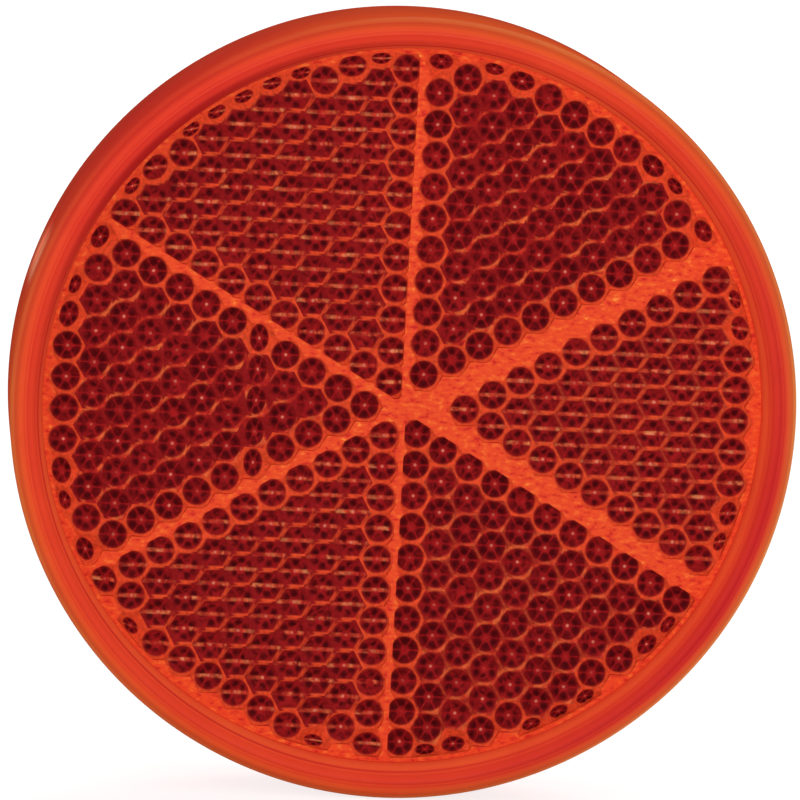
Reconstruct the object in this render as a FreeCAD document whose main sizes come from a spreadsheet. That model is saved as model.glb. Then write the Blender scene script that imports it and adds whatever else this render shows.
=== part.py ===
import FreeCAD, Part
import math
import os

import Sketcher

# A round moulded reflector. It faces -Y, stands with +Z up, and its origin is
# the centre of the face that seats on the carrier, where the stud comes out.

doc = FreeCAD.newDocument("round_reflector")

# Driving dimensions, in millimetres
DIMENSIONS = {
    "outer_diameter": "60",
    "body_depth": "12.5",
    "shoulder_radius": "1.3",
    "bead_radius": "0.7",
    "bead_width": "1.1",
    "bead_height": "1.3",
    "plate_thickness": "2.2",
    "skirt_wall": "1.6",
    "ledge_width": "0.9",
    "gate_width": "6",
    "gate_cut": "0.16",
    "gate_height": "4.5",
    "prism_pitch": "2.4",
    "prism_root": "0.15",
    "prism_gap": "3.5",
    "field_clearance": "0.3",
    "spoke_width": "0.4",
    "set_back_right": "2.69",
    "set_back_upper_right": "0.87",
    "set_back_upper_left": "0.07",
    "set_back_left": "0.85",
    "set_back_lower_left": "0.55",
    "set_back_lower_right": "0.30",
    "cover_thickness": "1.6",
    "cover_clearance": "0.1",
    "boss_diameter": "15",
    "seat_stand_off": "2.5",
    "rib_length": "5.5",
    "rib_thickness": "1.4",
    "rib_drop": "1.2",
    "stud_diameter": "5",
    "stud_length": "14",
    "stud_point": "0.7",
    "neck_step": "0.5",
    "head_across_flats": "8",
    "head_height": "3.5",
    "head_cover": "0.8",
}

sheet = doc.addObject("Spreadsheet::Sheet", "dimensions")
for row, (alias, value) in enumerate(DIMENSIONS.items(), start=1):
    sheet.set(f"A{row}", alias)
    sheet.set(f"B{row}", value)
    sheet.setAlias(f"B{row}", alias)
doc.recompute()

# Radii that follow from the driving dimensions
OUTER_RADIUS = "dimensions.outer_diameter / 2"
CREST_RADIUS = f"{OUTER_RADIUS} - dimensions.shoulder_radius"
FACE_RADIUS = f"{CREST_RADIUS} - dimensions.bead_width"
POCKET_RADIUS = f"{OUTER_RADIUS} - dimensions.skirt_wall"
CAVITY_RADIUS = f"{POCKET_RADIUS} - dimensions.ledge_width"
FIELD_RADIUS = f"{CAVITY_RADIUS} - dimensions.field_clearance"
COVER_RADIUS = f"{POCKET_RADIUS} - dimensions.cover_clearance"
BOSS_RADIUS = "dimensions.boss_diameter / 2"
RIB_RADIUS = f"{BOSS_RADIUS} + dimensions.rib_length"
STUD_RADIUS = "dimensions.stud_diameter / 2"
NECK_RADIUS = f"{STUD_RADIUS} + dimensions.neck_step"

# Depths in front of the seat, so that y is the depth with its sign turned
SKIRT_DEPTH = "dimensions.seat_stand_off"
CREST_DEPTH = f"{SKIRT_DEPTH} + dimensions.body_depth"
SHOULDER_DEPTH = f"{CREST_DEPTH} - dimensions.shoulder_radius"
BEAD_DEPTH = f"{CREST_DEPTH} - dimensions.bead_radius"
FACE_DEPTH = f"{CREST_DEPTH} - dimensions.bead_height"
PLATE_DEPTH = f"{FACE_DEPTH} - dimensions.plate_thickness"
PRISM_HEIGHT = "dimensions.prism_pitch * sqrt(2 / 3)"
PIT_DEPTH = f"{PLATE_DEPTH} - dimensions.prism_root"
TIP_DEPTH = f"{PIT_DEPTH} - {PRISM_HEIGHT}"
COVER_FRONT_DEPTH = f"{TIP_DEPTH} - dimensions.prism_gap"
COVER_REAR_DEPTH = f"{COVER_FRONT_DEPTH} - dimensions.cover_thickness"
HEAD_FRONT_DEPTH = f"{COVER_FRONT_DEPTH} - dimensions.head_cover"
HEAD_REAR_DEPTH = f"{HEAD_FRONT_DEPTH} - dimensions.head_height"

BUNDLE_STEP = 60
RIB_COUNT = 6
GATE_ANGLE = 158


def size(expression):
    """Value of an expression of the sheet, as a plain number of millimetres."""
    return float(sheet.evalExpression(expression))


def origin_plane(body, role):
    """Origin plane of a body, by its role."""
    for feature in body.Origin.OriginFeatures:
        if feature.Role == role:
            return feature
    raise ValueError(f"{body.Label} has no {role}")


def new_body(label):
    """Empty body with a label of its own."""
    body = doc.addObject("PartDesign::Body", label)
    body.Label = label
    return body


def new_sketch(body, name, role):
    """Empty sketch on one of the body's origin planes."""
    sketch = body.newObject("Sketcher::SketchObject", name)
    sketch.AttachmentSupport = (origin_plane(body, role), "")
    sketch.MapMode = "FlatFace"
    return sketch


def tie(sketch, kind, geometry, point, expression):
    """Tie one coordinate of a sketch point to an expression, measured from the origin."""
    value = size(expression)
    if value < 0:
        ends = (geometry, point, -1, 1)
        expression = f"-({expression})"
    else:
        ends = (-1, 1, geometry, point)
    index = sketch.addConstraint(Sketcher.Constraint(kind, *ends, abs(value)))
    sketch.setExpression(f"Constraints[{index}]", expression)


def half_section(body, name, corners, arc_centres=None):
    """Closed half section in the XY plane, x the radius and y the depth turned.

    Corners are pairs of expressions (radius, depth), with None for a radius on
    the axis. Arc centres are given by the number of the corner where the arc starts.
    """
    arc_centres = arc_centres or {}
    sketch = new_sketch(body, name, "XY_Plane")

    def place(radius, depth):
        return FreeCAD.Vector(size(radius) if radius else 0, -size(depth), 0)

    places = [place(*corner) for corner in corners]
    starts = []
    for number, start in enumerate(places):
        end = places[(number + 1) % len(places)]
        if number in arc_centres:
            centre = place(*arc_centres[number])
            circle = Part.Circle(centre, FreeCAD.Vector(0, 0, 1), (start - centre).Length)
            forward = (start - centre).cross(end - centre).z > 0
            first, last = (start, end) if forward else (end, start)
            sketch.addGeometry(Part.ArcOfCircle(circle, circle.parameter(first), circle.parameter(last)))
            starts.append(1 if forward else 2)
        else:
            sketch.addGeometry(Part.LineSegment(start, end))
            starts.append(1)

    for number, (radius, depth) in enumerate(corners):
        before = number - 1 if number else len(corners) - 1
        sketch.addConstraint(
            Sketcher.Constraint("Coincident", before, 3 - starts[before], number, starts[number])
        )
        if radius:
            tie(sketch, "DistanceX", number, starts[number], radius)
        else:
            sketch.addConstraint(Sketcher.Constraint("PointOnObject", number, starts[number], -2))
        tie(sketch, "DistanceY", number, starts[number], f"-({depth})")
    for number, (radius, depth) in arc_centres.items():
        tie(sketch, "DistanceY", number, 3, f"-({depth})")
    return sketch


def revolve(body, name, sketch):
    """Turn a half section about the axis of the reflector."""
    feature = body.newObject("PartDesign::Revolution", name)
    feature.Profile = sketch
    feature.ReferenceAxis = (sketch, ["V_Axis"])
    feature.Angle = 360
    return feature


# Lens moulding: the plate, the rounded bead around it and the skirt behind it

def make_lens_shell():
    """Lens moulding before its prisms, as one turned section."""
    body = new_body("lens_shell")
    bead_rise = "dimensions.bead_radius * sqrt(1 / 2)"
    shoulder_rise = "dimensions.shoulder_radius * sqrt(1 / 2)"
    corners = [
        (None, FACE_DEPTH),
        (FACE_RADIUS, FACE_DEPTH),
        (f"{CREST_RADIUS} - {bead_rise}", f"{BEAD_DEPTH} + {bead_rise}"),
        (CREST_RADIUS, CREST_DEPTH),
        (f"{CREST_RADIUS} + {shoulder_rise}", f"{SHOULDER_DEPTH} + {shoulder_rise}"),
        (OUTER_RADIUS, SHOULDER_DEPTH),
        (OUTER_RADIUS, SKIRT_DEPTH),
        (POCKET_RADIUS, SKIRT_DEPTH),
        (POCKET_RADIUS, COVER_FRONT_DEPTH),
        (CAVITY_RADIUS, COVER_FRONT_DEPTH),
        (CAVITY_RADIUS, PLATE_DEPTH),
        (None, PLATE_DEPTH),
    ]
    arc_centres = {
        2: (CREST_RADIUS, BEAD_DEPTH),
        3: (CREST_RADIUS, SHOULDER_DEPTH),
        4: (CREST_RADIUS, SHOULDER_DEPTH),
    }
    revolve(body, "lens_turning", half_section(body, "lens_section", corners, arc_centres))
    return body


def make_gate_cut():
    """Block that trims the rim flat where the moulding gate was cut off."""
    block = doc.addObject("Part::Box", "gate_block")
    block.setExpression("Length", "dimensions.shoulder_radius")
    block.setExpression("Width", "dimensions.gate_height")
    block.setExpression("Height", "dimensions.gate_width")
    turn = f"create(<<rotation>>; create(<<vector>>; 0; 1; 0); {-GATE_ANGLE})"
    reach = f"{OUTER_RADIUS} - dimensions.gate_cut"
    front = f"-({SKIRT_DEPTH} + (dimensions.body_depth + dimensions.gate_height) / 2)"
    corner = f"create(<<vector>>; {reach}; {front}; -dimensions.gate_width / 2)"
    block.setExpression("Placement", f"create(<<placement>>; {turn} * {corner}; {turn})")
    return block


# Prism field: six wedges of hexagonal cube corners on the rear of the plate

def polar(radius, degrees):
    """Point of the lens plane, x to the right and z up."""
    angle = math.radians(degrees)
    return FreeCAD.Vector(radius * math.cos(angle), 0, radius * math.sin(angle))


def bundle_cells(bisector, tip_distance, pitch, field_radius):
    """Cell centres of one wedge: rows that grow both ways from its tip cell."""
    tip = polar(tip_distance, bisector)
    row_ways = [polar(pitch, bisector - 30), polar(pitch, bisector + 30)]
    rows = math.ceil(2 * field_radius / pitch)
    centres = [tip + row_ways[0] * i + row_ways[1] * j for i in range(rows) for j in range(rows)]
    return [centre for centre in centres if centre.Length < field_radius]


def cell_corners(centre, bisector, pitch, pit, ridge):
    """Six corners of a cell: the ridges of the cube end at every second one."""
    corner_radius = pitch / math.sqrt(3)
    inward = bisector + 180
    corners = []
    for number in range(6):
        corner = centre + polar(corner_radius, inward + 60 * number)
        corner.y = ridge if number % 2 == 0 else pit
        corners.append(corner)
    return corners


def corner_key(point):
    """Name of a corner that cells share, the same whichever cell works it out."""
    return (round(point.x, 4), round(point.z, 4))


def face_of(points):
    """Plane face with these corners."""
    return Part.Face(Part.makePolygon(points + points[:1]))


def bundle_solid(bisector, set_back):
    """Solid of one wedge of cells, cut off at the spokes and at the edge of the field."""
    pitch = size("dimensions.prism_pitch")
    field_radius = size(FIELD_RADIUS)
    pit, tip = -size(PIT_DEPTH), -size(TIP_DEPTH)
    ridge = (pit + tip) / 2
    base = -size(f"{PLATE_DEPTH} + dimensions.plate_thickness / 4")
    row_spacing = pitch * math.sqrt(3) / 2

    faces = []
    edges = {}
    for centre in bundle_cells(bisector, row_spacing + set_back, pitch, field_radius):
        corners = cell_corners(centre, bisector, pitch, pit, ridge)
        apex = FreeCAD.Vector(centre.x, tip, centre.z)
        for number in (0, 2, 4):
            faces.append(face_of([apex, corners[number], corners[number + 1], corners[(number + 2) % 6]]))
        for number, corner in enumerate(corners):
            following = corners[(number + 1) % 6]
            ends = (corner_key(corner), corner_key(following))
            if ends[::-1] in edges:
                del edges[ends[::-1]]
            else:
                edges[ends] = (corner, following)

    outline = []
    following = {ends[0]: ends for ends in edges}
    key = next(iter(following))
    while len(outline) < len(edges):
        start, end = edges[following[key]]
        feet = [FreeCAD.Vector(point.x, base, point.z) for point in (start, end)]
        faces.append(face_of([start, end, feet[1], feet[0]]))
        outline.append(feet[0])
        key = following[key][1]
    faces.append(face_of(outline))

    shell = Part.makeShell(faces)
    shell.sewShape()
    solid = Part.makeSolid(shell)
    if solid.Volume < 0:
        solid.reverse()
    return solid.common(bundle_limit(bisector, field_radius, base, tip))


def bundle_limit(bisector, field_radius, base, tip):
    """Slice of the field that one wedge may fill, half a spoke away from its neighbours."""
    half_spoke = size("dimensions.spoke_width") / 2
    swing = BUNDLE_STEP / 2
    tip_point = polar(half_spoke / math.sin(math.radians(swing)), bisector)
    lean = math.degrees(math.asin(half_spoke / field_radius))
    first = polar(field_radius, bisector - swing + lean)
    middle = polar(field_radius, bisector)
    last = polar(field_radius, bisector + swing - lean)
    edges = [
        Part.makeLine(tip_point, first),
        Part.Arc(first, middle, last).toShape(),
        Part.makeLine(last, tip_point),
    ]
    slice_face = Part.Face(Part.Wire(edges))
    margin = FreeCAD.Vector(0, 1, 0)
    slice_face.translate(FreeCAD.Vector(0, base, 0) - margin)
    return slice_face.extrude(FreeCAD.Vector(0, tip - base, 0) + 2 * margin)


def make_bundles():
    """The six wedges, each set back along its own bisector."""
    places = ("right", "upper_right", "upper_left", "left", "lower_left", "lower_right")
    bundles = []
    for number, place in enumerate(places):
        bundle = doc.addObject("Part::Feature", f"prisms_{place}")
        bundle.Shape = bundle_solid(BUNDLE_STEP * number, size(f"dimensions.set_back_{place}"))
        bundles.append(bundle)
    return bundles


def make_lens():
    """Lens moulding with its prisms, and the gate trimmed."""
    joined = doc.addObject("Part::MultiFuse", "lens_joined")
    joined.Shapes = [make_lens_shell()] + make_bundles()
    joined.Refine = False
    lens = doc.addObject("Part::Cut", "lens")
    lens.Base = joined
    lens.Tool = make_gate_cut()
    lens.Refine = False
    return lens


# Stud: a hexagon-head screw whose head is moulded into the boss

def make_stud():
    """Screw with its head towards the lens and its neck flush with the seat."""
    body = new_body("mounting_stud")
    shank_corners = [
        (None, f"{HEAD_REAR_DEPTH} + dimensions.head_height / 2"),
        (NECK_RADIUS, f"{HEAD_REAR_DEPTH} + dimensions.head_height / 2"),
        (NECK_RADIUS, "0"),
        (STUD_RADIUS, "0"),
        (STUD_RADIUS, "dimensions.stud_point - dimensions.stud_length"),
        (f"{STUD_RADIUS} - dimensions.stud_point", "-dimensions.stud_length"),
        (None, "-dimensions.stud_length"),
    ]
    revolve(body, "shank_turning", half_section(body, "shank_section", shank_corners))

    outline = new_sketch(body, "head_outline", "XZ_Plane")
    outline.setExpression("AttachmentOffset.Base.z", HEAD_REAR_DEPTH)
    corner_radius = size("dimensions.head_across_flats") / math.sqrt(3)
    corners = [polar(corner_radius, 60 * number) for number in range(6)]
    corners = [FreeCAD.Vector(corner.x, corner.z, 0) for corner in corners]
    for number, corner in enumerate(corners):
        outline.addGeometry(Part.LineSegment(corner, corners[(number + 1) % 6]))
    for number in range(6):
        outline.addConstraint(Sketcher.Constraint("Coincident", number, 2, (number + 1) % 6, 1))
    for number in range(1, 6):
        outline.addConstraint(Sketcher.Constraint("Equal", 0, number))
    centre = Part.Circle(FreeCAD.Vector(0, 0, 0), FreeCAD.Vector(0, 0, 1), corner_radius)
    circle = outline.addGeometry(centre, True)
    outline.addConstraint(Sketcher.Constraint("Coincident", circle, 3, -1, 1))
    for number in range(6):
        outline.addConstraint(Sketcher.Constraint("PointOnObject", number, 1, circle))
    outline.addConstraint(Sketcher.Constraint("PointOnObject", 0, 1, -1))
    radius = outline.addConstraint(Sketcher.Constraint("Radius", circle, corner_radius))
    outline.setExpression(f"Constraints[{radius}]", "dimensions.head_across_flats / sqrt(3)")

    head = body.newObject("PartDesign::Pad", "head")
    head.Profile = outline
    head.setExpression("Length", "dimensions.head_height")
    return body


# Back cover: the disc that closes the lens, with the boss that holds the stud

def make_cover_plate():
    """Disc and boss turned in one section, with ribs between them."""
    body = new_body("cover_plate")
    corners = [
        (None, COVER_FRONT_DEPTH),
        (COVER_RADIUS, COVER_FRONT_DEPTH),
        (COVER_RADIUS, COVER_REAR_DEPTH),
        (BOSS_RADIUS, COVER_REAR_DEPTH),
        (BOSS_RADIUS, "0"),
        (None, "0"),
    ]
    revolve(body, "cover_turning", half_section(body, "cover_section", corners))

    rib_section = half_section(
        body,
        "rib_section",
        [
            (f"{BOSS_RADIUS} / 2", f"{COVER_REAR_DEPTH} + dimensions.cover_thickness / 2"),
            (RIB_RADIUS, f"{COVER_REAR_DEPTH} + dimensions.cover_thickness / 2"),
            (RIB_RADIUS, COVER_REAR_DEPTH),
            (BOSS_RADIUS, "dimensions.rib_drop"),
            (f"{BOSS_RADIUS} / 2", "dimensions.rib_drop"),
        ],
    )
    rib = body.newObject("PartDesign::Pad", "rib")
    rib.Profile = rib_section
    rib.Midplane = True
    rib.setExpression("Length", "dimensions.rib_thickness")
    ribs = body.newObject("PartDesign::PolarPattern", "ribs")
    ribs.Originals = [rib]
    ribs.Axis = (rib_section, ["V_Axis"])
    ribs.Angle = 360
    ribs.Occurrences = RIB_COUNT
    body.Tip = ribs
    return body


def make_cover(stud):
    """Back cover, moulded around the head of the stud."""
    cover = doc.addObject("Part::Cut", "back_cover")
    cover.Base = make_cover_plate()
    cover.Tool = stud
    cover.Refine = False
    return cover


lens = make_lens()
mounting_stud = make_stud()
back_cover = make_cover(mounting_stud)
doc.recompute()

for item in doc.Objects:
    if "Invalid" in item.State or "Error" in item.State:
        raise RuntimeError(f"{item.Label} did not rebuild: {item.State}")

sub_parts = [lens, back_cover, mounting_stud]
for sub_part in sub_parts:
    if sub_part.Shape.isNull() or not sub_part.Shape.isValid() or len(sub_part.Shape.Solids) != 1:
        raise RuntimeError(f"{sub_part.Label} is not one sound solid")

os.makedirs("parts", exist_ok=True)
for sub_part in sub_parts:
    sub_part.Shape.exportStep(f"parts/{sub_part.Label}.step")
    box = sub_part.Shape.BoundBox
    print(sub_part.Label, round(sub_part.Shape.Volume, 1), "mm3", len(sub_part.Shape.Faces), "faces", box)
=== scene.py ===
import functools
import math
import random

import bmesh
import bpy
from mathutils import Matrix, Vector


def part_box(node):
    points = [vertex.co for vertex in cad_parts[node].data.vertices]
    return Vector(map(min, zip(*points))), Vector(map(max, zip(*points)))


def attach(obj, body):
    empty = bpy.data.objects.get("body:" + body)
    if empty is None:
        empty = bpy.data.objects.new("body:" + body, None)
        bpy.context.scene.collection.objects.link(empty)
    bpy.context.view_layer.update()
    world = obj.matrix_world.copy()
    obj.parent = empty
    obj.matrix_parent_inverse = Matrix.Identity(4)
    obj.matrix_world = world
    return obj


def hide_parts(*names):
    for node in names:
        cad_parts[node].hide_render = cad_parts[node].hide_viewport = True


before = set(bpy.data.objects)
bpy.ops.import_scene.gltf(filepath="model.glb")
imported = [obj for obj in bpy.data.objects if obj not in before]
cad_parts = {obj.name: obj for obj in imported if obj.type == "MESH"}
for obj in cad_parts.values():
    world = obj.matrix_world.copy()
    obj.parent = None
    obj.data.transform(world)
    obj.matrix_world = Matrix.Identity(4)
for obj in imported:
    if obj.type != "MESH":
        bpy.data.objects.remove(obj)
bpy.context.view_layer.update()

# Sizes are in millimetres, and meshes are scaled to metres when they are finished. Angles are in degrees.
# A depth is measured from the seat towards the face of the lens, so y is the depth with its sign turned.
MM = 0.001

# Rim of the lens
OUTER_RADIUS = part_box("lens")[1].x / MM
CREST_DEPTH = -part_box("lens")[0].y / MM
SKIRT_DEPTH = -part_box("lens")[1].y / MM
COVER_FRONT_DEPTH = -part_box("back_cover")[0].y / MM
SHOULDER_RADIUS = 1.3
BEAD_RADIUS = 0.7
BEAD_WIDTH = 1.1
BEAD_HEIGHT = 1.3
SKIRT_WALL = 1.6
SKIRT_ROUND = 0.15
LEDGE_WIDTH = 0.9
PLATE_THICKNESS = 2.2
CREST_RADIUS = OUTER_RADIUS - SHOULDER_RADIUS
FACE_RADIUS = CREST_RADIUS - BEAD_WIDTH
FACE_DEPTH = CREST_DEPTH - BEAD_HEIGHT
PLATE_DEPTH = FACE_DEPTH - PLATE_THICKNESS
POCKET_RADIUS = OUTER_RADIUS - SKIRT_WALL
CAVITY_RADIUS = POCKET_RADIUS - LEDGE_WIDTH

# Steps of the rim's mesh, and how much further than its flank's slope the round of the bead turns
RIM_SEGMENTS = 288
BEAD_STEPS = 10
SHOULDER_STEPS = 14
SKIRT_STEPS = 4
BEAD_OVERTURN = 12

# Flat on the rim where the moulding gate was trimmed, and a painted highlight on the skirt around it
GATE_ANGLE = 158
GATE_CUT = 0.16
GATE_HEIGHT = 4.5
GATE_STEP = 0.03
GATE_MIDDLE = (CREST_DEPTH + SKIRT_DEPTH) / 2
GATE_GLARE_ANGLE = 160.5
GATE_GLARE_WIDTH = 4.9
GATE_GLARE_HEIGHT = 9.4

# Prism field, seen through the plate: hollow cube corners, whose tips are the deepest points
WEDGES = 6
WEDGE_STEP = 360 / WEDGES
FIELD_CLEARANCE = 0.3
HALF_SPOKE = 0.2
CELL_PITCH = 2.4
PRISM_ROOT = 0.15
FIELD_RADIUS = CAVITY_RADIUS - FIELD_CLEARANCE
CELL_CORNER = CELL_PITCH / math.sqrt(3)
CELL_INRADIUS = CELL_PITCH / 2
FACET_SLOPE = math.sqrt(2)
PRISM_HEIGHT = FACET_SLOPE * CELL_CORNER
TIP_DEPTH = PLATE_DEPTH - PRISM_ROOT - PRISM_HEIGHT

# The clear plate ends inside the slab that the cells are sunk into, and its edge inside the rim
PLATE_BACKING = 0.1
PLATE_BITE = 0.1
SLAB_BACKING = 0.2
PLATE_BACK = TIP_DEPTH - PLATE_BACKING
SLAB_BACK = TIP_DEPTH - SLAB_BACKING

# Centre of a cell: how near to the deepest point it has to be, and how near its neighbours are
TIP_TOLERANCE = 0.01
NEIGHBOUR_REACH = 1.1 * CELL_PITCH

# Edge of the field: straight pieces, by the angle of one and how many count on each side of a cell
EDGE_STEP = 2.5
EDGE_SWINGS = 3
WELD = 0.004

# Furthest that the centre of a cell may lie outside the field, and the least half width and the extra
# length that a cell shows there
EDGE_OVERHANG = 0.35
EDGE_ROOM = 0.45
EDGE_LENGTH = 0.3

# Share of the bright stripes and of the bright netting in the cells of each wedge, both painted highlights,
# counted from the right
WEDGE_STYLES = ((1, 0.3), (0, 0), (1, 0), (0, 0), (1, 0), (0, 0.25))
MOOD_SEED = 7

# Column of narrow cells in the wedge on the left
COLUMN_WEDGE = 3
COLUMN_PLACE = -11.5
COLUMN_REACH = 0.8 * CELL_INRADIUS
COLUMN_HEIGHT = 6
COLUMN_SQUEEZE = 1.5

# Sideways shift per millimetre of depth of what shows through the plate, which keeps the lines through
# the cells straight to someone a little above and to the left
SIGHT_SLANT = Vector((0.058, -0.093))

# Stud, with the share of a turn that its thread's crest takes and the share that its flanks take
STUD_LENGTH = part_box("mounting_stud")[1].y / MM
STUD_RADIUS = 2.5
STUD_POINT = 0.7
STUD_BURIED = 2.0
THREAD_PITCH = 0.8
THREAD_DEPTH = 0.43
THREAD_CREST = 0.12
THREAD_FLANKS = 0.7
THREAD_START = 0.1
THREAD_RUNOUT = 1.2
TURN_STEPS = 48
PITCH_STEPS = 8

# Sharpest bend that is shaded smooth
RIM_BEND = 35
PLATE_BEND = 30
FACET_BEND = 1
THREAD_BEND = 50


def srgb(red, green, blue):
    """Linear colour of a colour as it shows on a screen, from 0 to 255."""
    shares = [value / 255 for value in (red, green, blue)]
    return tuple(((s + 0.055) / 1.055) ** 2.4 if s > 0.04045 else s / 12.92 for s in shares) + (1.0,)


def limited(value):
    """A value kept between 0 and 1."""
    return min(max(value, 0), 1)


def polar(radius, degrees):
    """Point of the lens plane, x to the right and z up."""
    angle = math.radians(degrees)
    return Vector((radius * math.cos(angle), radius * math.sin(angle)))


def place(point, depth):
    """A point of the lens plane at a depth."""
    return Vector((point.x, -depth, point.y))


def finished(mesh, name, materials, bend):
    """Object in metres from a mesh in millimetres."""
    bmesh.ops.recalc_face_normals(mesh, faces=mesh.faces)
    mesh.transform(Matrix.Scale(MM, 4))
    data = bpy.data.meshes.new(name)
    mesh.to_mesh(data)
    mesh.free()
    data.shade_smooth()
    data.set_sharp_from_angle(angle=math.radians(bend))
    for material in materials:
        data.materials.append(material)
    piece = bpy.data.objects.new(name, data)
    bpy.context.scene.collection.objects.link(piece)
    return piece


# Nodes of materials

def new_material(name):
    """Material with a Principled shader: (material, node tree, shader)."""
    material = bpy.data.materials.new(name)
    material.use_nodes = True
    return material, material.node_tree, material.node_tree.nodes["Principled BSDF"]


def set_inputs(shader, values):
    """Set values that are the same all over the surface on the shader's own sockets."""
    for key, value in values.items():
        shader.inputs[key].default_value = value


def add_node(tree, kind, settings=None, inputs=None):
    """Node with its settings and its input values, or the sockets linked to them."""
    node = tree.nodes.new(kind)
    for key, value in (settings or {}).items():
        setattr(node, key, value)
    for key, value in (inputs or {}).items():
        if isinstance(value, bpy.types.NodeSocket):
            tree.links.new(value, node.inputs[key])
        else:
            node.inputs[key].default_value = value
    return node


def read_attributes(tree, output, *names):
    """One output of the attributes of these names."""
    nodes = [add_node(tree, "ShaderNodeAttribute", {"attribute_name": name}) for name in names]
    return [node.outputs[output] for node in nodes]


def calc(tree, operation, *values):
    """Result of a Math node."""
    return add_node(tree, "ShaderNodeMath", {"operation": operation}, dict(enumerate(values))).outputs[0]


def joined(tree, operation, *values):
    """Result of a row of Math nodes, such as the product of several values."""
    return functools.reduce(lambda first, second: calc(tree, operation, first, second), values)


def soft_step(tree, value, start, end):
    """From 0 at the start to 1 at the end, in a soft step."""
    settings = {"interpolation_type": "SMOOTHSTEP"}
    inputs = {"Value": value, "From Min": start, "From Max": end}
    return add_node(tree, "ShaderNodeMapRange", settings, inputs).outputs["Result"]


def straight_range(tree, value, end, first, last):
    """From the first to the last value while a value goes from 0 to its end."""
    inputs = {"Value": value, "From Max": end, "To Min": first, "To Max": last}
    return add_node(tree, "ShaderNodeMapRange", inputs=inputs).outputs["Result"]


def add_ramp(tree, factor, stops):
    """Colour ramp through the stops, each a position and a colour."""
    ramp = add_node(tree, "ShaderNodeValToRGB", inputs={"Fac": factor})
    elements = ramp.color_ramp.elements
    while len(elements) < len(stops):
        elements.new(1.0)
    for element, (position, colour) in zip(elements, stops):
        element.position = position
        element.color = colour
    return ramp.outputs["Color"]


def add_noise(tree, scale, detail=4, roughness=0.55, stretch=(1, 1, 1)):
    """Noise over the object, with its scale in repeats per metre."""
    where = add_node(tree, "ShaderNodeTexCoord").outputs["Object"]
    mapping = add_node(tree, "ShaderNodeMapping", inputs={"Vector": where, "Scale": stretch})
    inputs = {"Vector": mapping.outputs["Vector"], "Scale": scale, "Detail": detail, "Roughness": roughness}
    return add_node(tree, "ShaderNodeTexNoise", inputs=inputs).outputs["Fac"]


def mix_colour(tree, blend, factor, first, second):
    """Mix of two colours or sockets."""
    settings = {"data_type": "RGBA", "blend_type": blend}
    return add_node(tree, "ShaderNodeMix", settings, {0: factor, 6: first, 7: second}).outputs[2]


# Colours across the rim, by the way in millimetres from the foot of the bead over the crest and down the
# skirt, with light and shade painted into them.
# The plain ones show on most of it: a lighter foot that makes up for the shade there, a painted shade line
# on the flank and a pale painted sheen towards the outer edge of the shoulder. The far side shows a painted
# shade at the foot and on the skirt, and the near side a painted shade on its crest with pale painted
# highlights on the shoulder past it.
PLAIN_RIM_PAINTED_LIGHT = [
    (0.0, srgb(255, 94, 56)),
    (0.45, srgb(255, 90, 54)),
    (0.65, srgb(214, 48, 42)),
    (0.85, srgb(250, 80, 50)),
    (1.5, srgb(232, 68, 42)),
    (2.0, srgb(227, 70, 40)),
    (2.6, srgb(225, 86, 42)),
    (3.2, srgb(222, 106, 54)),
    (4.0, srgb(226, 90, 41)),
    (7.0, srgb(220, 84, 42)),
    (11.0, srgb(206, 80, 43)),
    (15.0, srgb(198, 70, 42)),
]
FAR_RIM_PAINTED_SHADE = [
    (0.0, srgb(196, 42, 38)),
    (0.8, srgb(196, 40, 39)),
    (1.2, srgb(204, 44, 40)),
    (1.6, srgb(223, 57, 41)),
    (3.0, srgb(223, 60, 41)),
    (5.9, srgb(215, 56, 42)),
    (9.7, srgb(206, 53, 44)),
    (12.7, srgb(198, 58, 43)),
    (15.0, srgb(198, 62, 42)),
]
NEAR_RIM_PAINTED_LIGHT = [
    (0.0, srgb(255, 90, 54)),
    (0.4, srgb(252, 82, 50)),
    (0.9, srgb(232, 62, 46)),
    (1.7, srgb(201, 41, 40)),
    (2.1, srgb(205, 46, 41)),
    (2.45, srgb(221, 82, 46)),
    (2.85, srgb(236, 120, 62)),
    (3.3, srgb(242, 146, 82)),
    (4.0, srgb(224, 84, 43)),
    (15.0, srgb(204, 68, 42)),
]
RIM_SPAN = 15.0
INNER_WALL = 0.6
# Directions of the painted shade on the far side and of the painted light on the near side, and how narrow
# each is
FAR_SHADE_ANGLE, NEAR_LIGHT_ANGLE = 135, -25
FAR_SHADE_POWER, NEAR_LIGHT_POWER = 5, 2
# Colour of the painted highlight on the skirt by the gate
GATE_GLARE_TONE = srgb(255, 158, 118)

# Clouds all over the rim, and streaks around the bead, which multiply its colours
RIM_CLOUDS_SCALE = 180
RIM_CLOUDS = [(0.3, (0.97, 0.9, 0.95, 1)), (0.7, (1.02, 1.1, 1.02, 1))]
RIM_STREAKS_SCALE, RIM_STREAKS_DETAIL = 2.0, 3.0
RIM_STREAKS = [(0.35, (0.86, 0.7, 0.8, 1)), (0.6, (1.04, 1.14, 1.04, 1))]

# The bead has a little shine, which ends on the way to the skirt
BEAD_END, SKIRT_START = 2.6, 4.2
BEAD_SHINE = 0.06
BEAD_COAT = {"Coat Roughness": 0.15, "Coat IOR": 1.4}


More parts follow.
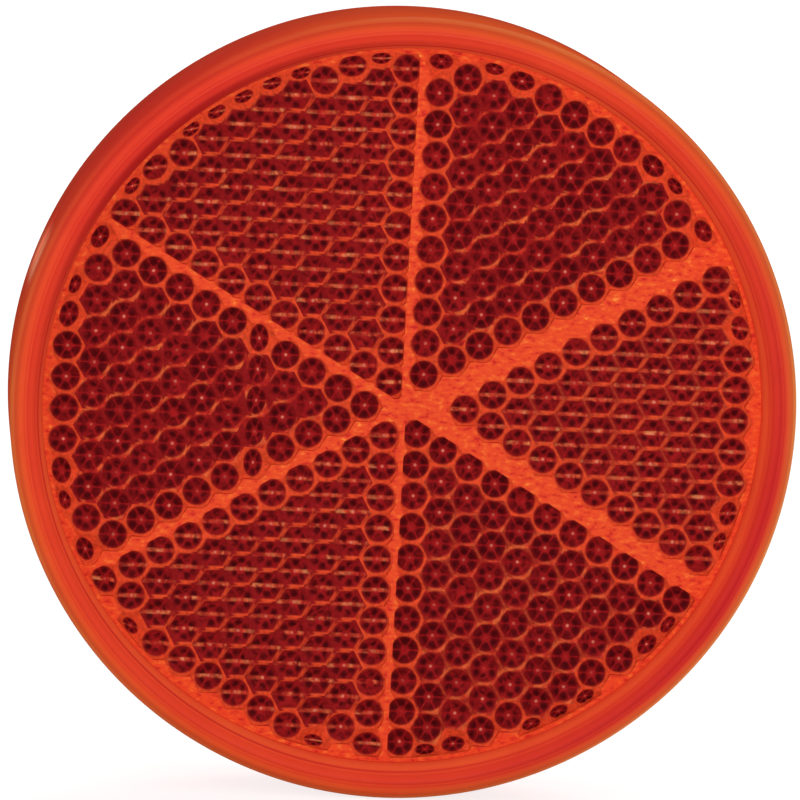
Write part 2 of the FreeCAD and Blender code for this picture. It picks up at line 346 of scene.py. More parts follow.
def rim_material():
    """Clear red plastic of the rim, with the light and shade that show through it from all sides painted
    into its colours.
    """
    material, tree, shader = new_material("rim_plastic")
    across, far_side_shade, near_side_light, gate_glare = read_attributes(
        tree, "Fac", "across", "far_side_shade", "near_side_light", "gate_glare"
    )
    share = calc(tree, "DIVIDE", across, RIM_SPAN)
    plain, far, near = [
        add_ramp(tree, share, [(way / RIM_SPAN, colour) for way, colour in stops])
        for stops in (PLAIN_RIM_PAINTED_LIGHT, FAR_RIM_PAINTED_SHADE, NEAR_RIM_PAINTED_LIGHT)
    ]
    # Painted shade on the far side, and painted light and shade on the near side
    colour = mix_colour(tree, "MIX", far_side_shade, plain, far)
    colour = mix_colour(tree, "MIX", near_side_light, colour, near)
    clouds = add_ramp(tree, add_noise(tree, RIM_CLOUDS_SCALE), RIM_CLOUDS)
    colour = mix_colour(tree, "MULTIPLY", 1.0, colour, clouds)
    on_bead = soft_step(tree, across, SKIRT_START, BEAD_END)
    rings = add_node(
        tree,
        "ShaderNodeTexNoise",
        {"noise_dimensions": "1D"},
        {"W": across, "Scale": RIM_STREAKS_SCALE, "Detail": RIM_STREAKS_DETAIL},
    )
    streaks = add_ramp(tree, rings.outputs["Fac"], RIM_STREAKS)
    colour = mix_colour(tree, "MULTIPLY", on_bead, colour, streaks)
    # Painted highlight on the skirt by the gate
    colour = mix_colour(tree, "MIX", gate_glare, colour, GATE_GLARE_TONE)
    tree.links.new(colour, shader.inputs["Base Color"])
    tree.links.new(calc(tree, "MULTIPLY", on_bead, BEAD_SHINE), shader.inputs["Coat Weight"])
    set_inputs(shader, {"Specular IOR Level": 0.0, **BEAD_COAT})
    return material


def plate_material():
    """Clear plate of the lens, which mirrors its surroundings only at a slant."""
    material, _, shader = new_material("clear_face")
    values = {
        "Base Color": (1, 1, 1, 1),
        "Transmission Weight": 1.0,
        "IOR": 1.49,
        "Roughness": 0.0,
        "Specular Tint": (0, 0, 0, 1),
    }
    set_inputs(shader, values)
    return material


# What lies behind the plate has no shine of its own
DULL = {"Roughness": 0.5, "Specular IOR Level": 0.0}

# Ripples of the bare plastic between the cells
FLATS_RIPPLES = {"scale": 1300, "detail": 2, "roughness": 0.6, "stretch": (1, 1, 1.9)}
FLATS_TONES = [
    (0.32, srgb(200, 44, 38)),
    (0.42, srgb(228, 70, 42)),
    (0.56, srgb(234, 82, 43)),
    (0.68, srgb(242, 108, 50)),
    (0.76, srgb(252, 152, 68)),
]


def flats_material():
    """Bare plastic between the prisms, lit from behind, with fine ripples."""
    material, tree, shader = new_material("bare_flats")
    ripples = add_noise(tree, **FLATS_RIPPLES)
    tree.links.new(add_ramp(tree, ripples, FLATS_TONES), shader.inputs["Base Color"])
    set_inputs(shader, DULL)
    return material


# How a cell shows, with its light painted: a dark disc with six darker blobs, which are painted reflection
# of the dark surroundings, thin lines between them, a lighter centre and a pale dot at its tip, which are
# painted highlights, and bright plastic around it, lit from behind. Lengths are in millimetres from the
# tip.
SIDE_ANGLES = (30, 90, 150)
BLOB_STEP = math.radians(60)
DISC_RADIUS, DISC_SOFTNESS = 1.08, 0.1
INSIDE_GROWTH = 0.02
CENTRE_CORE, CENTRE_REACH = 0.15, 0.6
BLOB_DISTANCE = 0.68
BLOB_CORE, BLOB_REACH = 0.1, 0.46
LINE_CORE, LINE_REACH = 0.02, 0.1
STRIPE_CORE, STRIPE_REACH = 0.06, 0.22
DOT_CORE, DOT_REACH = 0.06, 0.17
STRIP_START, STRIP_END = 0.97, 1.12
NET_START, NET_END = 1.08, 1.17
SHADED_EDGE_START, SHADED_EDGE_END = 0.75, 1.05

# Shares of these in the look of a cell
RISING_SHARE, FALLING_SHARE = 0.7, 0.2
GLOW_SHARE = 0.7
LINED_EVENNESS, LINED_LIGHTNESS = 0.8, 0.6
# Painted light at the tip: cells grow lighter towards it to make up for the shade deep in the hollow
TIP_PAINTED_LIGHT = 1.3

# Noises that make the cells uneven
BLOB_PATCHES = {"scale": 1100, "detail": 1}
BLOB_PATCHES_START, BLOB_PATCHES_END = 0.26, 0.56
STRIPE_PATCHES = {"scale": 1500, "detail": 1}
STRIPE_PATCHES_START, STRIPE_PATCHES_END = 0.36, 0.62
CELL_LIGHT = {"scale": 900, "detail": 2}
CELL_SPECKLE = {"scale": 2600, "detail": 2}
SPECKLE_TONES = [(0.3, (0.78, 0.76, 0.78, 1)), (0.7, (1.2, 1.2, 1.2, 1))]

# Colours of a cell: the disc and blob tones are painted reflection, the centre, line and dot tones painted
# highlights, and the gap and border tones bright plastic lit from behind
DISC_DARK, DISC_LIGHT = srgb(118, 19, 23), srgb(156, 29, 31)
CENTRE_TONE = srgb(172, 36, 36)
BLOB_TONE = srgb(82, 14, 18)
LINE_TONE = srgb(168, 28, 31)
# Painted highlight along the horizontal ridge through the tip
STRIPE_HIGHLIGHT_TONES = [(0.36, srgb(196, 48, 40)), (0.52, srgb(218, 84, 54)), (0.68, srgb(232, 138, 88))]
GAP_TONES = [(0.36, srgb(180, 36, 34)), (0.48, srgb(218, 58, 41)), (0.62, srgb(242, 104, 58))]
# Painted light: the even tone around border and lined cells is lightened to make up for the shade on the
# slanted faces
BORDER_TONE = srgb(246, 82, 46)
# Painted shade on the bright plastic along the falling sides of a cell
SHADED_EDGE_TONE = srgb(162, 32, 33)
# Painted highlight along the edges of a cell
NET_HIGHLIGHT_TONE = srgb(224, 92, 54)
# Painted highlight of the dot at the tip
DOT_HIGHLIGHT_TONE = srgb(224, 132, 108)


def side_distances(tree, local):
    """Distances from the tip towards the falling, the flat and the rising sides of a cell."""
    distances = []
    for angle in SIDE_ANGLES:
        inputs = {0: local, 1: polar(1, angle).to_3d()}
        along = add_node(tree, "ShaderNodeVectorMath", {"operation": "DOT_PRODUCT"}, inputs)
        distances.append(calc(tree, "ABSOLUTE", along.outputs["Value"]))
    return distances


def blob_distance(tree, local, radius):
    """Distance from the nearest of the six blobs around the tip."""
    spot = add_node(tree, "ShaderNodeSeparateXYZ", inputs={"Vector": local}).outputs
    turn = calc(tree, "ARCTAN2", spot["Y"], spot["X"])
    sector = calc(tree, "FRACT", calc(tree, "DIVIDE", turn, BLOB_STEP))
    swing = calc(tree, "MULTIPLY", calc(tree, "SUBTRACT", sector, 0.5), BLOB_STEP)
    aside = calc(tree, "MULTIPLY", radius, calc(tree, "SINE", swing))
    outwards = calc(tree, "MULTIPLY", radius, calc(tree, "COSINE", swing))
    beyond = calc(tree, "SUBTRACT", outwards, BLOB_DISTANCE)
    squares = calc(tree, "ADD", calc(tree, "POWER", aside, 2.0), calc(tree, "POWER", beyond, 2.0))
    return calc(tree, "SQRT", squares)


def gap_share(tree, radius, sides, lined, inside):
    """Where the bright plastic around a cell shows: around its disc, or along the sides of a lined cell."""
    falling, flat, rising = [soft_step(tree, side, STRIP_START, STRIP_END) for side in sides]
    shrunk = calc(tree, "MULTIPLY_ADD", inside, -INSIDE_GROWTH, radius)
    round_gap = soft_step(tree, shrunk, DISC_RADIUS - DISC_SOFTNESS, DISC_RADIUS + DISC_SOFTNESS)
    rising = calc(tree, "MULTIPLY", rising, RISING_SHARE)
    falling = calc(tree, "MULTIPLY", falling, FALLING_SHARE)
    straight_gap = joined(tree, "MAXIMUM", flat, rising, falling)
    change = calc(tree, "SUBTRACT", straight_gap, round_gap)
    return calc(tree, "MULTIPLY_ADD", calc(tree, "MULTIPLY", lined, inside), change, round_gap)


def forwards(tree):
    """Direction out of the face of the lens."""
    settings = {"vector_type": "NORMAL", "convert_from": "OBJECT", "convert_to": "WORLD"}
    return add_node(tree, "ShaderNodeVectorTransform", settings, {"Vector": (0, -1, 0)}).outputs["Vector"]


def cell_material():
    """Prism faces, whose colours paint the reflections and highlights of the prisms. Light reaches them
    from all round in the plastic, so they are shaded as a flat sheet.
    """
    material, tree, shader = new_material("prism_faces")
    (local,) = read_attributes(tree, "Vector", "local")
    (shade, glow, spark), (lined, netted, border) = [
        add_node(tree, "ShaderNodeSeparateColor", inputs={"Color": colour}).outputs
        for colour in read_attributes(tree, "Color", "mood", "style")
    ]
    radius = add_node(tree, "ShaderNodeVectorMath", {"operation": "LENGTH"}, {0: local}).outputs["Value"]
    sides = side_distances(tree, local)
    falling, flat = sides[:2]
    inside = calc(tree, "SUBTRACT", 1.0, border)
    plain = calc(tree, "SUBTRACT", 1.0, netted)

    # Where each thing shows
    patches = soft_step(tree, add_noise(tree, **BLOB_PATCHES), BLOB_PATCHES_START, BLOB_PATCHES_END)
    from_blob = blob_distance(tree, local, radius)
    blob = calc(tree, "MULTIPLY", soft_step(tree, from_blob, BLOB_REACH, BLOB_CORE), patches)
    nearest = joined(tree, "MINIMUM", *sides)
    furthest = joined(tree, "MAXIMUM", *sides)
    line = soft_step(tree, nearest, LINE_REACH, LINE_CORE)
    uneven = soft_step(tree, add_noise(tree, **STRIPE_PATCHES), STRIPE_PATCHES_START, STRIPE_PATCHES_END)
    brightness = calc(tree, "MAXIMUM", uneven, calc(tree, "MULTIPLY", glow, GLOW_SHARE))
    # Painted highlight along the horizontal ridge through the tip
    stripe_highlight = joined(tree, "MULTIPLY", soft_step(tree, flat, STRIPE_REACH, STRIPE_CORE), lined, brightness)
    outside = gap_share(tree, radius, sides, lined, inside)
    # Painted shade along the falling sides of the cell, less in netted cells and none in border cells
    shaded_edge = joined(tree, "MULTIPLY", soft_step(tree, falling, SHADED_EDGE_START, SHADED_EDGE_END), inside, plain)
    # Painted highlight along the edges of the cell
    net_highlight = joined(tree, "MULTIPLY", soft_step(tree, furthest, NET_START, NET_END), netted, inside)
    # Painted highlight of the dot at the tip, as strong as the cell's spark
    dot = calc(tree, "MULTIPLY", soft_step(tree, radius, DOT_REACH, DOT_CORE), spark)
    centre = soft_step(tree, radius, CENTRE_REACH, CENTRE_CORE)

    # Colour of the bright plastic around the cell
    light = add_noise(tree, **CELL_LIGHT)
    gap = add_ramp(tree, light, GAP_TONES)
    evenness = calc(tree, "MAXIMUM", border, calc(tree, "MULTIPLY", lined, LINED_EVENNESS))
    gap = mix_colour(tree, "MIX", evenness, gap, BORDER_TONE)
    # Painted shade along the falling sides
    gap = mix_colour(tree, "MIX", shaded_edge, gap, SHADED_EDGE_TONE)

    # Colours from the disc upwards, each over the last
    lightness = calc(tree, "MULTIPLY_ADD", lined, LINED_LIGHTNESS, shade)
    colour = mix_colour(tree, "MIX", lightness, DISC_DARK, DISC_LIGHT)
    layers = [
        (centre, CENTRE_TONE),
        (line, LINE_TONE),
        (blob, BLOB_TONE),
        (stripe_highlight, add_ramp(tree, light, STRIPE_HIGHLIGHT_TONES)),
        (outside, gap),
        (net_highlight, NET_HIGHLIGHT_TONE),
        (dot, DOT_HIGHLIGHT_TONE),
    ]
    for share, tone in layers:
        colour = mix_colour(tree, "MIX", share, colour, tone)
    # Painted light, lighter towards the tip to make up for the shade deep in the hollow
    lift = straight_range(tree, radius, CELL_INRADIUS, TIP_PAINTED_LIGHT, 1.0)
    colour = mix_colour(tree, "MULTIPLY", 1.0, colour, lift)
    speckle = add_ramp(tree, add_noise(tree, **CELL_SPECKLE), SPECKLE_TONES)
    colour = mix_colour(tree, "MULTIPLY", 1.0, colour, speckle)
    tree.links.new(colour, shader.inputs["Base Color"])
    tree.links.new(forwards(tree), shader.inputs["Normal"])
    set_inputs(shader, DULL)
    return material


# Back cover: clouds in its colour, and a fine grain
COVER_CLOUDS = {"scale": 90, "detail": 5}
COVER_TONES = [(0.3, srgb(196, 44, 30)), (0.7, srgb(214, 62, 38))]
COVER_GRAIN = {"scale": 5200, "detail": 2}
COVER_SMOOTHEST, COVER_ROUGHEST = 0.3, 0.46
COVER_BUMP = {"Strength": 0.25, "Distance": 0.05 * MM}


def cover_material():
    """Moulded plastic of the back cover, with a fine spark texture."""
    material, tree, shader = new_material("cover_plastic")
    colour = add_ramp(tree, add_noise(tree, **COVER_CLOUDS), COVER_TONES)
    tree.links.new(colour, shader.inputs["Base Color"])
    grain = add_noise(tree, **COVER_GRAIN)
    rough = straight_range(tree, grain, 1.0, COVER_SMOOTHEST, COVER_ROUGHEST)
    tree.links.new(rough, shader.inputs["Roughness"])
    bump = add_node(tree, "ShaderNodeBump", inputs={"Height": grain, **COVER_BUMP})
    tree.links.new(bump.outputs["Normal"], shader.inputs["Normal"])
    return material


# Stud: clouds in its colour and its shine
ZINC_CLOUDS = {"scale": 700, "detail": 5}
ZINC_TONES = [(0.3, (0.52, 0.53, 0.55, 1)), (0.7, (0.74, 0.75, 0.76, 1))]
ZINC_SMOOTHEST, ZINC_ROUGHEST = 0.22, 0.4


def stud_material():
    """Bright zinc on steel, a little cloudy."""
    material, tree, shader = new_material("zinc_plating")
    clouds = add_noise(tree, **ZINC_CLOUDS)
    tree.links.new(add_ramp(tree, clouds, ZINC_TONES), shader.inputs["Base Color"])
    rough = straight_range(tree, clouds, 1.0, ZINC_SMOOTHEST, ZINC_ROUGHEST)
    tree.links.new(rough, shader.inputs["Roughness"])
    set_inputs(shader, {"Metallic": 1.0})
    return material


# Rim and plate of the lens

def arc(centre, radius, start, end, steps):
    """Points (radius, depth) of a round edge, between two angles that are measured from the depth axis."""
    angles = [math.radians(start + (end - start) * number / steps) for number in range(steps + 1)]
    return [(centre[0] + radius * math.sin(a), centre[1] + radius * math.cos(a)) for a in angles]


def rim_outline():
    """Closed section of the rim, from the foot of the bead outwards and around the skirt."""
    flank = math.degrees(math.atan2(BEAD_HEIGHT, BEAD_WIDTH))
    bead = (CREST_RADIUS, CREST_DEPTH - BEAD_RADIUS)
    shoulder = (CREST_RADIUS, CREST_DEPTH - SHOULDER_RADIUS)
    skirt_edge = (OUTER_RADIUS - SKIRT_ROUND, SKIRT_DEPTH + SKIRT_ROUND)
    gate_top, gate_foot = GATE_MIDDLE + GATE_HEIGHT / 2, GATE_MIDDLE - GATE_HEIGHT / 2
    gate_depths = (gate_top, gate_top - GATE_STEP, GATE_MIDDLE, gate_foot + GATE_STEP, gate_foot)
    points = [(FACE_RADIUS, FACE_DEPTH)]
    points += arc(bead, BEAD_RADIUS, -flank - BEAD_OVERTURN, 0, BEAD_STEPS)
    points += arc(shoulder, SHOULDER_RADIUS, 0, 90, SHOULDER_STEPS)[1:]
    points += [(OUTER_RADIUS, depth) for depth in gate_depths]
    points += arc(skirt_edge, SKIRT_ROUND, 90, 180, SKIRT_STEPS)
    points += [
        (POCKET_RADIUS, SKIRT_DEPTH),
        (POCKET_RADIUS, COVER_FRONT_DEPTH),
        (CAVITY_RADIUS, COVER_FRONT_DEPTH),
        (CAVITY_RADIUS, PLATE_DEPTH),
    ]
    return points


def join_rings(mesh, ring, following):
    """Faces between two rings of vertices, one of which may be a single point."""
    for number in range(len(ring)):
        after = (number + 1) % len(ring)
        corners = [ring[number], ring[after], following[after], following[number]]
        mesh.faces.new(list(dict.fromkeys(corners)))


def add_turned(mesh, outline, segments, closed):
    """Turn an outline of (radius, depth) points about the axis, and give the rings of vertices."""
    rings = []
    for radius, depth in outline:
        if radius == 0:
            rings.append([mesh.verts.new((0, -depth, 0))] * segments)
        else:
            angles = [360 * number / segments for number in range(segments)]
            rings.append([mesh.verts.new(place(polar(radius, angle), depth)) for angle in angles])
    for ring, following in zip(rings, rings[1:] + rings[:1] if closed else rings[1:]):
        join_rings(mesh, ring, following)
    return rings


def gate_glare_at(point, off_middle):
    """How much painted highlight the skirt takes by the trimmed gate at a point, from 0 to 1."""
    here = Vector((point.x, point.z))
    if here.length < OUTER_RADIUS - GATE_CUT:
        return 0
    aside = (here - polar(OUTER_RADIUS, GATE_GLARE_ANGLE)).length / (GATE_GLARE_WIDTH / 2)
    along = off_middle / (GATE_GLARE_HEIGHT / 2)
    return limited(1 - aside ** 2) * limited(1 - along)


def make_rim():
    """Bead, shoulder and skirt as one closed ring, with the gate trimmed flat."""
    mesh = bmesh.new()
    across, far_side_shade, near_side_light, gate_glare = [
        mesh.verts.layers.float.new(name) for name in ("across", "far_side_shade", "near_side_light", "gate_glare")
    ]
    outline = rim_outline()
    rings = add_turned(mesh, outline, RIM_SEGMENTS, closed=True)
    lengths = [0.0]
    for (r0, d0), (r1, d1) in zip(outline, outline[1:]):
        lengths.append(lengths[-1] + math.hypot(r1 - r0, d1 - d0))
    lengths[-1] = INNER_WALL
    for ring, length in zip(rings, lengths):
        for vertex in ring:
            vertex[across] = length

    gate = place(polar(1, GATE_ANGLE), 0)
    for vertex in mesh.verts:
        heading = Vector((vertex.co.x, vertex.co.z)).normalized()
        off_middle = abs(-vertex.co.y - GATE_MIDDLE)
        # Shares of the painted shade on the far side and of the painted light on the near side
        vertex[far_side_shade] = max(heading.dot(polar(1, FAR_SHADE_ANGLE)), 0) ** FAR_SHADE_POWER
        vertex[near_side_light] = max(heading.dot(polar(1, NEAR_LIGHT_ANGLE)), 0) ** NEAR_LIGHT_POWER
        # Share of the painted highlight by the gate
        vertex[gate_glare] = gate_glare_at(vertex.co, off_middle)
        over = vertex.co.dot(gate) - (OUTER_RADIUS - GATE_CUT)
        if over > 0 and off_middle < (GATE_HEIGHT - GATE_STEP) / 2:
            vertex.co -= gate * over
    return finished(mesh, "lens_rim", [rim_material()], RIM_BEND)


def make_plate():
    """Clear plastic from the face down past the tips of the prisms."""
    mesh = bmesh.new()
    outline = [
        (0, FACE_DEPTH),
        (FACE_RADIUS + PLATE_BITE, FACE_DEPTH),
        (CAVITY_RADIUS + PLATE_BITE, PLATE_BACK),
        (0, PLATE_BACK),
    ]
    add_turned(mesh, outline, RIM_SEGMENTS, closed=False)
    return finished(mesh, "lens_plate", [plate_material()], PLATE_BEND)


# Prism field

def cell_centres():
    """Centres of the prism cells, from the tips of the prisms in the frame."""
    points = [vertex.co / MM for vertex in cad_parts["lens"].data.vertices]
    inner = [point for point in points if math.hypot(point.x, point.z) < FIELD_RADIUS + TIP_TOLERANCE]
    tip = max(point.y for point in inner)
    centres = []
    for point in sorted(inner, key=lambda point: (-point.y, point.x, point.z)):
        centre = Vector((point.x, point.z))
        alone = all((centre - other).length > CELL_INRADIUS for other in centres)
        if tip - point.y < TIP_TOLERANCE and alone:
            centres.append(centre)
    return centres


def wedge_of(centre):
    """Number of the wedge that a point is in, counted from the right."""
    return round(math.degrees(math.atan2(centre.y, centre.x)) / WEDGE_STEP) % WEDGES


def neighbours(centre):
    """Centres of the six cells around a cell."""
    return [centre + polar(CELL_PITCH, 60 * number + 30) for number in range(6)]


def with_edge_cells(centres):
    """The centres, with those of the cells that the edge of the field cuts off past their tips."""
    every = list(centres)
    for centre in centres:
        for other in neighbours(centre):
            outside = FIELD_RADIUS < other.length < FIELD_RADIUS + EDGE_OVERHANG
            known = any((other - one).length < CELL_INRADIUS for one in every)
            if outside and not known and wedge_of(other) == wedge_of(centre):
                every.append(other)
    return every


def on_border(centre, centres):
    """Whether a cell lacks one of its neighbours."""
    found = sum((centre - other).length < NEIGHBOUR_REACH for other in centres if other is not centre)
    return found < 6


def cell_limits(centre, bisector):
    """Limits of the wedge that a cell is in: its two spokes and the edge of the field."""
    limits = [(polar(1, bisector + side * 120), -HALF_SPOKE) for side in (1, -1)]
    heading = round(math.degrees(math.atan2(centre.y, centre.x)) / EDGE_STEP)
    swings = range(-EDGE_SWINGS, EDGE_SWINGS + 1)
    return limits + [(polar(1, EDGE_STEP * (heading + swing)), FIELD_RADIUS) for swing in swings]


def clip(polygon, limit):
    """Part of a convex polygon inside one limit, which is a direction and how far one may go along it."""
    way, reach = limit
    kept = []
    for number, point in enumerate(polygon):
        before = polygon[number - 1]
        room, room_before = reach - way.dot(point), reach - way.dot(before)
        if (room < 0) != (room_before < 0):
            kept.append(before.lerp(point, room_before / (room_before - room)))
        if room >= 0:
            kept.append(point)
    return kept if len(kept) > 2 else []


def facet_outline(centre, bisector, heading):
    """Corners in the lens plane of one of the three faces of a cell, inside the limits of its wedge."""
    outline = [centre] + [centre + polar(CELL_CORNER, heading + swing) for swing in (-60, 0, 60)]
    for limit in cell_limits(centre, bisector):
        outline = clip(outline, limit)
    return outline


def shown_at(offset, height, centre):
    """Place in the pattern of a cell, which is narrower where the edge of the field cuts the cell off."""
    seen = offset + SIGHT_SLANT * (height - PRISM_HEIGHT / 2)
    outwards = centre.normalized()
    aside = Vector((-outwards.y, outwards.x))
    room = FIELD_RADIUS - centre.length
    narrow = min(max(room, EDGE_ROOM), DISC_RADIUS)
    inset = max(EDGE_ROOM - room, 0)
    across = (seen.dot(outwards) + inset) / narrow
    along = seen.dot(aside) / min(narrow + EDGE_LENGTH, DISC_RADIUS)
    return DISC_RADIUS * (outwards * across + aside * along)


def squeeze_of(centre, wedge):
    """How much narrower than the others a cell shows."""
    in_column = abs(centre.x - COLUMN_PLACE) < COLUMN_REACH and abs(centre.y) < COLUMN_HEIGHT
    return COLUMN_SQUEEZE if wedge == COLUMN_WEDGE and in_column else 1


def add_cells(mesh):
    """Hollow cube corners of all the cells, cut off at the spokes and the edge of the field."""
    local = mesh.loops.layers.float_vector.new("local")
    mood = mesh.loops.layers.float_color.new("mood")
    style = mesh.loops.layers.float_color.new("style")
    draw = random.Random(MOOD_SEED)
    wedges = [[] for number in range(WEDGES)]
    for centre in with_edge_cells(cell_centres()):
        wedges[wedge_of(centre)].append(centre)
    for wedge, centres in enumerate(wedges):
        bisector = WEDGE_STEP * wedge
        for centre in centres:
            # Per cell: a random tone of its disc, and random strengths of its painted highlights along the
            # ridge and at the tip
            feeling = (draw.random(), draw.random(), draw.random(), 1)
            look = (*WEDGE_STYLES[wedge], on_border(centre, centres), 1)
            squeeze = squeeze_of(centre, wedge)
            for heading in (bisector, bisector + 120, bisector + 240):
                outline = facet_outline(centre, bisector, heading)
                if not outline:
                    continue
                heights = [FACET_SLOPE * (point - centre).dot(polar(1, heading)) for point in outline]
                corners = [place(point, TIP_DEPTH + height) for point, height in zip(outline, heights)]
                face = mesh.faces.new([mesh.verts.new(corner) for corner in corners])
                face.material_index = 1
                for loop, point, height in zip(face.loops, outline, heights):
                    shown = shown_at(point - centre, height, centre)
                    loop[local] = (shown.x * squeeze, shown.y, 0)
                    loop[mood] = feeling
                    loop[style] = look
    bmesh.ops.remove_doubles(mesh, verts=mesh.verts, dist=WELD)


def open_edges(mesh):
    """Edges with one face, in an order that is the same in each run."""
    edges = [edge for edge in mesh.edges if edge.is_boundary]
    return sorted(edges, key=lambda edge: sorted(tuple(vertex.co) for vertex in edge.verts))


def add_walls(mesh):
    """Walls from the open edges of the cells to the rear of the plate."""
    tops = {}
    for edge in open_edges(mesh):
        loop = edge.link_loops[0]
        ends = (loop.link_loop_next.vert, loop.vert)
        for end in ends:
            if end not in tops:
                tops[end] = mesh.verts.new((end.co.x, -PLATE_DEPTH, end.co.z))
        mesh.faces.new([*ends, tops[ends[1]], tops[ends[0]]])


def make_prisms():
    """Disc of bare plastic with the cells sunk into its front, closed behind."""
    mesh = bmesh.new()
    add_cells(mesh)
    add_walls(mesh)
    outline = [(CAVITY_RADIUS, PLATE_DEPTH), (CAVITY_RADIUS, SLAB_BACK), (0, SLAB_BACK)]
    add_turned(mesh, outline, RIM_SEGMENTS, closed=False)
    bmesh.ops.triangle_fill(mesh, use_beauty=True, edges=open_edges(mesh), normal=(0, -1, 0))
    return finished(mesh, "prism_field", [flats_material(), cell_material()], FACET_BEND)


# Stud with its thread

def thread_radius(along, turn):
    """Radius of the shank at a place along it and a share of a turn around it."""
    wave = abs(((along / THREAD_PITCH - turn) % 1) * 2 - 1)
    groove = limited((wave - THREAD_CREST) / THREAD_FLANKS) * THREAD_DEPTH
    groove *= limited((along - THREAD_START) / THREAD_RUNOUT)
    point = STUD_RADIUS - max(0, along - (STUD_LENGTH - STUD_POINT))
    return min(STUD_RADIUS - groove, point)


def make_stud():
    """Threaded shank, from inside the boss to its point."""
    mesh = bmesh.new()
    whole = STUD_LENGTH + STUD_BURIED
    rows = round(whole / THREAD_PITCH * PITCH_STEPS)
    turns = [step / TURN_STEPS for step in range(TURN_STEPS)]
    rings = []
    for row in range(rows + 1):
        along = -STUD_BURIED + whole * row / rows
        points = [polar(thread_radius(along, turn), 360 * turn) for turn in turns]
        rings.append([mesh.verts.new(place(point, -along)) for point in points])
    for ring, following in zip(rings, rings[1:]):
        join_rings(mesh, ring, following)
    mesh.faces.new(rings[0])
    mesh.faces.new(rings[-1])
    return finished(mesh, "threaded_stud", [stud_material()], THREAD_BEND)


# Pieces on the frame

rim = make_rim()
plate = make_plate()
prisms = make_prisms()

# Light passes the clear plastic to every side of the prisms
for piece in (rim, plate, prisms):
    piece.visible_shadow = False
plate.visible_diffuse = False

for piece in (rim, plate, prisms):
    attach(piece, "root")
    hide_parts("lens")

stud = make_stud()
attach(stud, "root")
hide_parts("mounting_stud")

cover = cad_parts["back_cover"]
cover.data.materials.clear()
cover.data.materials.append(cover_material())


# Stage, light and camera, in metres

FLOOR_SIZE = 3
FLOOR_TONE = (0.85, 0.85, 0.85, 1)
FLOOR_SHOWN_TONE = (0.4, 0.4, 0.4, 1)
FLOOR_GLOW = 0.75
WHITE = (1, 1, 1, 1)
WORLD_LIGHT = 0.45
WORLD_SHOWN = 1.0
LIGHT_DISTANCE = 0.9
CAMERA_AZIMUTH = -5
CAMERA_ELEVATION = 7.9
CAMERA_DISTANCE = 0.45
CAMERA_ROLL = 3.2
CAMERA_TARGET = Vector((0.00007, -0.008, 0.00002))
SENSOR_WIDTH = 36
VIEW_WIDTH = 0.0616


def white_for_lookers(tree, plain, white):
    """Mix that shows a plain white to the camera and in reflections, and something else to the light."""
    path = add_node(tree, "ShaderNodeLightPath").outputs
    lookers = [path[ray] for ray in ("Is Camera Ray", "Is Glossy Ray", "Is Transmission Ray")]
    inputs = {0: joined(tree, "MAXIMUM", *lookers), 1: plain, 2: white}
    return add_node(tree, "ShaderNodeMixShader", inputs=inputs).outputs["Shader"]


def make_floor():
    """Pale floor that keeps a soft shadow."""
    mesh = bmesh.new()
    bmesh.ops.create_grid(mesh, x_segments=1, y_segments=1, size=FLOOR_SIZE)
    data = bpy.data.meshes.new("floor")
    mesh.to_mesh(data)
    mesh.free()
    floor = bpy.data.objects.new("floor", data)
    floor.location.z = -OUTER_RADIUS * MM
    bpy.context.scene.collection.objects.link(floor)
    material, tree, shader = new_material("pale_floor")
    tree.nodes.remove(shader)
    pale = add_node(tree, "ShaderNodeBsdfDiffuse", inputs={"Color": FLOOR_TONE}).outputs["BSDF"]
    half = add_node(tree, "ShaderNodeBsdfDiffuse", inputs={"Color": FLOOR_SHOWN_TONE}).outputs["BSDF"]
    glow = add_node(tree, "ShaderNodeEmission", inputs={"Strength": FLOOR_GLOW}).outputs["Emission"]
    both = add_node(tree, "ShaderNodeAddShader", inputs={0: half, 1: glow}).outputs["Shader"]
    surface = white_for_lookers(tree, pale, both)
    tree.links.new(surface, tree.nodes["Material Output"].inputs["Surface"])
    data.materials.append(material)


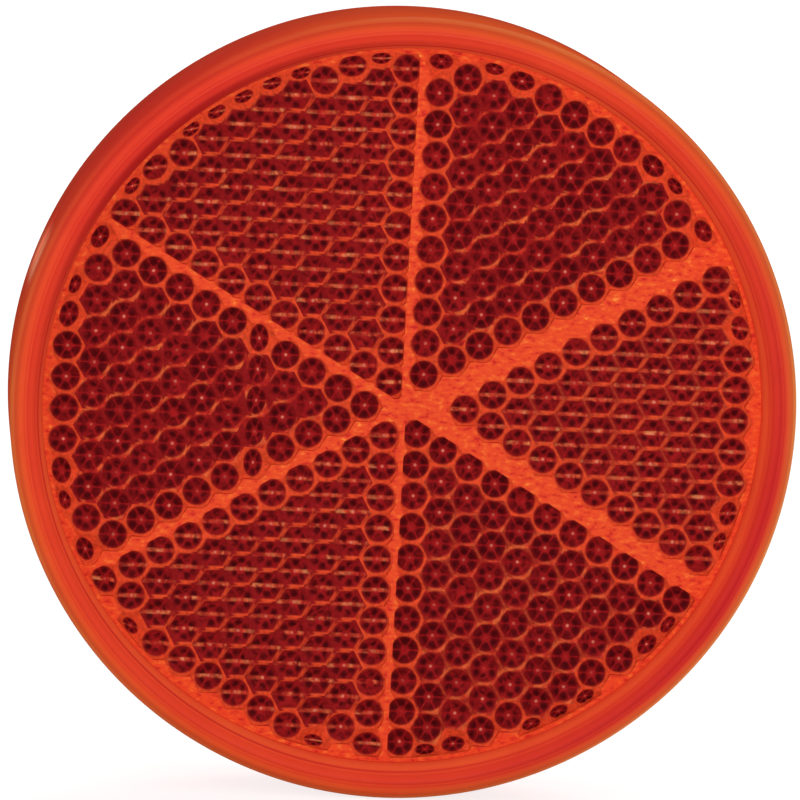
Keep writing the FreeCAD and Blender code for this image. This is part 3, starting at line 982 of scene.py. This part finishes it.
def make_world():
    """Even white surroundings."""
    world = bpy.data.worlds.new("studio")
    bpy.context.scene.world = world
    world.use_nodes = True
    tree = world.node_tree
    light = tree.nodes["Background"]
    set_inputs(light, {"Color": WHITE, "Strength": WORLD_LIGHT})
    white = add_node(tree, "ShaderNodeBackground", inputs={"Color": WHITE, "Strength": WORLD_SHOWN})
    surface = white_for_lookers(tree, light.outputs["Background"], white.outputs["Background"])
    tree.links.new(surface, tree.nodes["World Output"].inputs["Surface"])


def aim(azimuth, elevation):
    """Direction from the object to something around it. Azimuth 0 is in front of the face."""
    turn, lift = math.radians(azimuth), math.radians(elevation)
    return Vector((math.sin(turn) * math.cos(lift), -math.cos(turn) * math.cos(lift), math.sin(lift)))


def add_light(name, azimuth, elevation, size, power):
    """Square soft light that looks at the object."""
    lamp = bpy.data.lights.new(name, "AREA")
    lamp.size = size
    lamp.energy = power
    light = bpy.data.objects.new(name, lamp)
    way = aim(azimuth, elevation)
    light.location = way * LIGHT_DISTANCE
    light.rotation_euler = (-way).to_track_quat("-Z", "Y").to_euler()
    bpy.context.scene.collection.objects.link(light)


def make_camera():
    """Camera at the angle of the photograph."""
    lens = bpy.data.cameras.new("camera")
    lens.sensor_width = SENSOR_WIDTH
    lens.lens = SENSOR_WIDTH * CAMERA_DISTANCE / VIEW_WIDTH
    camera = bpy.data.objects.new("camera", lens)
    way = aim(CAMERA_AZIMUTH, CAMERA_ELEVATION)
    turned = (-way).to_track_quat("-Z", "Y").to_matrix().to_4x4()
    roll = Matrix.Rotation(math.radians(CAMERA_ROLL), 4, "Z")
    camera.matrix_world = Matrix.Translation(CAMERA_TARGET + way * CAMERA_DISTANCE) @ turned @ roll
    bpy.context.scene.collection.objects.link(camera)
    bpy.context.scene.camera = camera


make_floor()
make_world()
add_light("key", azimuth=8, elevation=16, size=0.5, power=3.2)
add_light("fill", azimuth=-40, elevation=25, size=0.6, power=1.3)
add_light("back", azimuth=160, elevation=40, size=0.5, power=3)
make_camera()
bpy.context.scene.view_settings.view_transform = "Standard"
